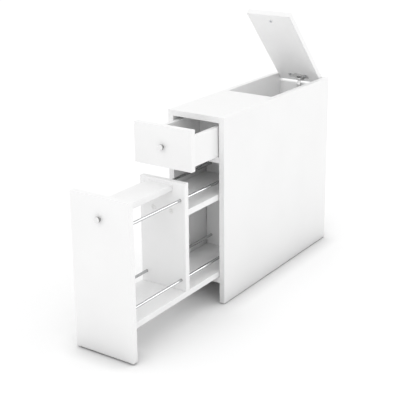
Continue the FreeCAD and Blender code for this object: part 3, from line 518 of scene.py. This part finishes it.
# The arm is a bent strip, drawn from the side: round its eye, along its neck and down, with a crank
# that swings out under the lid and comes back to the plate.
strip_middle, strip_half, arm_low, arm_half_width = -11, 1.5, -65, 5
crank_out, crank_top, crank_low, crank_steps = 5, -7, -31, 24
eye_radius, neck_bend = 2.4, 2.8
spine = [(-2, 0)] + arc((strip_middle + neck_bend, -neck_bend), neck_bend, 90, 180, 6)
for i in range(crank_steps + 1):
    swing = i / crank_steps
    spine.append((strip_middle - crank_out * (1 - math.cos(math.tau * swing)) / 2,
                  crank_top + (crank_low - crank_top) * swing))
spine.append((strip_middle, arm_low))
outer, inner = [], []
for i, (y, z) in enumerate(spine):
    before, after = Vector(spine[max(i - 1, 0)]), Vector(spine[min(i + 1, len(spine) - 1)])
    across = (after - before).normalized().orthogonal() * strip_half
    outer.append((y - across.x, z - across.y))
    inner.append((y + across.x, z + across.y))
arm_side = arc((0, 0), eye_radius, -145, 145, 20) + outer + inner[::-1]
arm = prism(scaled(arm_side), -arm_half_width * mm, arm_half_width * mm)
ease(arm, 0.9 * mm, steps=3)
on_side = Matrix(((0, 0, 1, 0), (1, 0, 0, 0), (0, 1, 0, 0), (0, 0, 0, 1)))
bmesh.ops.transform(arm, matrix=Matrix.Translation(pivot) @ on_side, verts=arm.verts)
depth_seat = Matrix.Translation(pivot + Vector((0, strip_middle - strip_half - 0.9, -40)) * mm)
depth_turn = Y.to_track_quat("Z", "Y").to_matrix().to_4x4()
depth_screw = screw(5, head=2.7, head_depth=1.2, radius=1.4, pitch=0.8, pan=True, pointed=False)
arm = joined([(arm, Matrix()), (depth_screw, depth_seat @ depth_turn)])
finished("bent_arm", arm, (nickel_plate,), "case", "hinge_metal", "hinge_arm")

plate_shape = cad_shape("hinge_plate")
ease(plate_shape, 0.6 * mm, shortest=2 * mm)
finished("mounting_plate", plate_shape, (nickel_plate,), "case", "hinge_metal", "hinge_plate")
screws("hinge_plate_screws", "case", **board_screw)
screws("hinge_arm_screw", "case", head=3.2, head_depth=1.8, radius=1.5, pitch=0.8, pan=True,
       pointed=False)

# Knobs
# Three turned brass knobs of one pattern, satin nickel plated, each held by a machine screw that
# comes through the board from behind.

# Satin nickel over a turned end face: a pale grey metal with a soft reflection. The turning lines are
# 0.1 mm apart, and are drawn 0.35 mm apart so that they show.
satin_nickel = surface("satin_nickel", "#efefef", "#e9e9e9", 8, (0.26, 0.31), 0.35, 0.002, lathed=True,
                       Metallic=1.0)

# The same plating over coarser turning on the sides, with its colour painted darker as painted shade.
painted_shade_nickel = surface("painted_shade_nickel", "#a6a6a5", "#949493", 5, (0.34, 0.42), 0.4, 0.03,
                         Metallic=1.0)

knob_profile = [(0, 0), (4.8, 0), (5, 0.2), (5, 0.8), (4.8, 1.0), (4.3, 1.3), (3.7, 1.8), (3.4, 2.5),
                (3.4, 3.9), (3.6, 4.4), (4.2, 4.8), (5.2, 5.1), (6.3, 5.3), (6.8, 5.5), (7, 5.9),
                (7, 6.6), (6.86, 6.7), (7, 6.8), (7, 7.4), (6.86, 7.5), (7, 7.6), (7, 8.6), (6.95, 9.0),
                (6.8, 9.35), (6.5, 9.55), (6.1, 9.65), (4.6, 9.84), (2.5, 9.96), (0, 10)]
knob_face = 8.7 * mm


def knob(node_name, body, outward):
    """A knob standing on its board."""
    shape = turned(knob_profile, 64)
    # The end face takes the plain plating, and the sides the copy painted darker as painted shade.
    for face in shape.faces:
        face.material_index = 0 if face.calc_center_median().z > knob_face else 1
    finished("turned_" + node_name, shape, (satin_nickel, painted_shade_nickel), body, "knob_metal",
             node_name, place=seats(node_name, outward)[0][0])
    screws(node_name + "_screw", body, into=outward, head=4.0, head_depth=2.2, radius=2.0, pitch=0.7,
           pan=True, pointed=False)


knob("lid_knob", "lid", into_lid)
knob("drawer_knob", "drawer", -Y)
knob("pullout_knob", "pullout", -Y)

# Drawer
# A front of thick board, with sides and a back of thinner board joined to it by cams and dowels, and
# a thin bottom slid into grooves.
for board in ("drawer_front", "drawer_side_left", "drawer_side_right", "drawer_back"):
    edged_board(board, "drawer")
edged_board("drawer_bottom", "drawer", 0.3)
cam_housings("drawer_cams", "drawer", lambda centre: X if centre.x > 0 else -X)
dress("drawer_cam_bolts", plated_steel)
dress("drawer_dowels", beech_wood)
screws("drawer_back_screws", "drawer", **board_screw)
moulded("drawer_tip_pads", "drawer")

# Pull-out
# A tall front with a bottom, a divider, a back, a middle shelf and a narrow top board. Cams and
# dowels hold the front, and long screws with white caps hold the rest.
for board in ("pullout_front", "pullout_top_board", "divider", "middle_shelf", "pullout_bottom",
              "pullout_back"):
    edged_board(board, "pullout")
cam_housings("pullout_cams", "pullout", Z)
dress("pullout_cam_bolts", plated_steel)
dress("pullout_dowels", beech_wood)
screws("pullout_screws", "pullout", head=4.8, head_depth=3.0, radius=2.6, pitch=3.0)
cap = turned([(0, 0), (6.0, 0), (6.2, 0.25), (6.15, 0.6), (5.8, 0.95), (5.0, 1.12), (3.2, 1.2),
              (2.8, 1.1), (2.5, 0.3), (0, 0.2)])
finished("pressed_caps", joined([(cap, seat) for seat, _ in seats("screw_caps", -Y)]),
         (moulded_plastic,), "pullout", "white_plastic", "screw_caps")
for pads in ("pullout_tip_pads", "pullout_rear_glides", "side_guides"):
    moulded(pads, "pullout")

# Rails
# Eight thin rods of drawn steel, chromed. Two on each side of each bay keep things in, and their
# ends are let into the boards.

# Chromium on polished steel: a near mirror, barely blue, with faint draw marks along the rod.
chromium = surface("chromed_drawn_steel", "#cbcccd", "#bcbdbe", 0.8, (0.08, 0.13), 0.5, 0.004,
                   (1, 0.02, 1), Metallic=1.0)
rod_radius, chamfer = 3.6, 0.5
for rails in ("front_rails", "rear_rails"):
    rods = []
    for seat, length in seats(rails, Y):
        end = length / mm
        profile = [(0, 0), (rod_radius - chamfer, 0), (rod_radius, chamfer),
                   (rod_radius, end - chamfer), (rod_radius - chamfer, end), (0, end)]
        rods.append((turned(profile, 32), seat))
    finished("chromed_" + rails, joined(rods), (chromium,), "pullout", "chromed_steel", rails)

# Floor
# A wide sweep of matt white studio paper. Where nothing stands near, it is as white as the background
# to the camera and in reflections. Towards what stands on it, its colour is painted darker, both as
# seen and in the light it throws back: a painted shadow, from how much of the sky is hidden nearby.


def seen_directly(tree):
    """One where the camera, or a reflection or refraction of it, looks at the surface, else zero."""
    rays = add(tree, "ShaderNodeLightPath").outputs
    mirrored = add(tree, "ShaderNodeMath", {"operation": "MAXIMUM"},
                   {0: rays["Is Glossy Ray"], 1: rays["Is Transmission Ray"]})
    return add(tree, "ShaderNodeMath", {"operation": "MAXIMUM"},
               {0: rays["Is Camera Ray"], 1: mirrored.outputs[0]}).outputs[0]


shade_reach = 0.26
foot_reach = 0.055
close_rays = {"samples": 8}
sweep_paper = bpy.data.materials.new("white_studio_paper")
sweep_paper.use_nodes = True
tree = sweep_paper.node_tree
tree.nodes.clear()
# Painted shadow: both occlusion masks below darken the paper's colour close to what stands on it.
open_sky = add(tree, "ShaderNodeAmbientOcclusion", close_rays, {"Distance": shade_reach}).outputs["AO"]
clear_foot = add(tree, "ShaderNodeAmbientOcclusion", close_rays, {"Distance": foot_reach}).outputs["AO"]
seen_paper = add(tree, "ShaderNodeMapRange", {},
                 {"Value": clear_foot, "From Min": 0.4, "To Min": 0.68, "To Max": 0.95})
far_bounce = add(tree, "ShaderNodeMapRange", {},
                 {"Value": open_sky, "From Min": 0.25, "To Min": 0.15, "To Max": 0.95})
near_bounce = add(tree, "ShaderNodeMapRange", {}, {"Value": clear_foot, "From Min": 0.45})
lit_paper = add(tree, "ShaderNodeMath", {"operation": "MULTIPLY"},
                {0: far_bounce.outputs[0], 1: near_bounce.outputs[0]})
paper_painted_shade = add(tree, "ShaderNodeMix", {},
                 {"Factor": seen_directly(tree), "A": lit_paper.outputs[0], "B": seen_paper.outputs[0]})
paper_white = add(tree, "ShaderNodeMix", {"data_type": "RGBA"},
                  {"Factor": paper_painted_shade.outputs[0], "A": linear("#000000"), "B": linear("#ffffff")})
paper = add(tree, "ShaderNodeBsdfDiffuse", {}, {"Color": paper_white.outputs[2]})
add(tree, "ShaderNodeOutputMaterial", {}, {"Surface": paper.outputs[0]})

floor_half = 30.0
floor_mesh = bpy.data.meshes.new("studio_floor")
floor_mesh.from_pydata([(-floor_half, -floor_half, 0), (floor_half, -floor_half, 0),
                        (floor_half, floor_half, 0), (-floor_half, floor_half, 0)], [], [(0, 1, 2, 3)])
floor_mesh.materials.append(sweep_paper)
studio_floor = bpy.data.objects.new("studio_floor", floor_mesh)
bpy.context.scene.collection.objects.link(studio_floor)

# Light
# An even white dome does nearly all of it. Two weak, broad suns, one low behind the right side and
# one higher before the front, lift those two sides and put highlights on the metal.
dome_light = 1.03
dome = bpy.data.worlds.new("studio_dome")
dome.use_nodes = True
dome.node_tree.nodes.clear()
strength = add(dome.node_tree, "ShaderNodeMix", {},
               {"Factor": seen_directly(dome.node_tree), "A": dome_light, "B": 1.0})
sky = add(dome.node_tree, "ShaderNodeBackground", {},
          {"Color": linear("#ffffff"), "Strength": strength.outputs[0]})
add(dome.node_tree, "ShaderNodeOutputWorld", {}, {"Surface": sky.outputs[0]})
bpy.context.scene.world = dome
bpy.context.scene.view_settings.view_transform = "Standard"


def broad_sun(name, direction, whites, spread_deg):
    """A sun that alone would show a white facing it at so many times its full tone."""
    lamp = bpy.data.lights.new(name, "SUN")
    lamp.energy = whites * math.pi
    lamp.angle = math.radians(spread_deg)
    holder = bpy.data.objects.new(name, lamp)
    holder.location = Vector(direction) * 3
    holder.rotation_euler = Vector(direction).to_track_quat("Z", "Y").to_euler()
    bpy.context.scene.collection.objects.link(holder)


broad_sun("rear_right_sun", (0.56, 0.76, 0.32), 0.11, 22)
broad_sun("front_sun", (-0.05, -0.75, 0.66), 0.10, 40)

# Camera
# It stands to the right of the front and looks down a little, as the photograph was taken. Its lens
# is a long one, so that the case's edges stay nearly parallel.
camera_data = bpy.data.cameras.new("studio_camera")
camera_data.sensor_width = 36.0
camera_data.lens = 85.14
camera_data.shift_x = -0.08
camera_data.shift_y = -0.12
camera_data.clip_end = 100.0
studio_camera = bpy.data.objects.new("studio_camera", camera_data)
case_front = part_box("side_right")[0].y
studio_camera.location = (1.274, case_front - 1.8125, 1.057)
studio_camera.rotation_euler = (math.radians(73.18), 0.0, math.radians(32.82))
bpy.context.scene.collection.objects.link(studio_camera)
bpy.context.scene.camera = studio_camera
